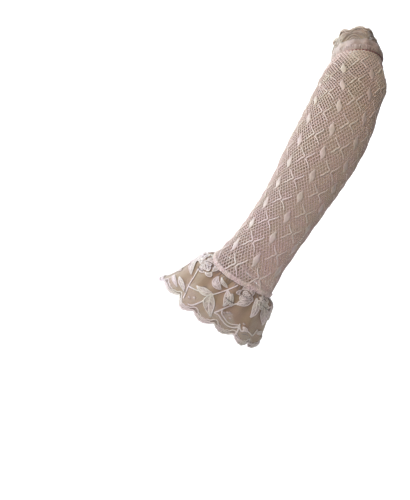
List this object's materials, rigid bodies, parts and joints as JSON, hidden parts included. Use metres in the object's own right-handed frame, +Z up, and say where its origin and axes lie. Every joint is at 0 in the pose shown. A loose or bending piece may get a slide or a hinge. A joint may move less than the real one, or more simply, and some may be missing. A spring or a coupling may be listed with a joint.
{
  "type": "evening mitten",
  "caption": "Long fingerless lace mitt for the left arm: a net sleeve from wrist to elbow, with gathered seams and a scalloped lace frill at each end.",
  "frame": {"origin": "middle of the wrist seam, on the forearm's axis", "axes": "+Z up the forearm to the elbow, -Y out of the back of the hand, -X to the thumb"},
  "size_m": [0.1184, 0.0786, 0.3071],
  "materials": {
    "net_cloth": "matte knitted net",
    "seam_thread": "matte rolled seam",
    "lace_cloth": "soft lace"
  },
  "bodies": {
    "root": {"sleeve": "net_cloth", "wrist_seam": "seam_thread", "hand_frill": "lace_cloth", "arm_seam": "seam_thread", "arm_frill": "lace_cloth"}
  },
  "joints": []
}
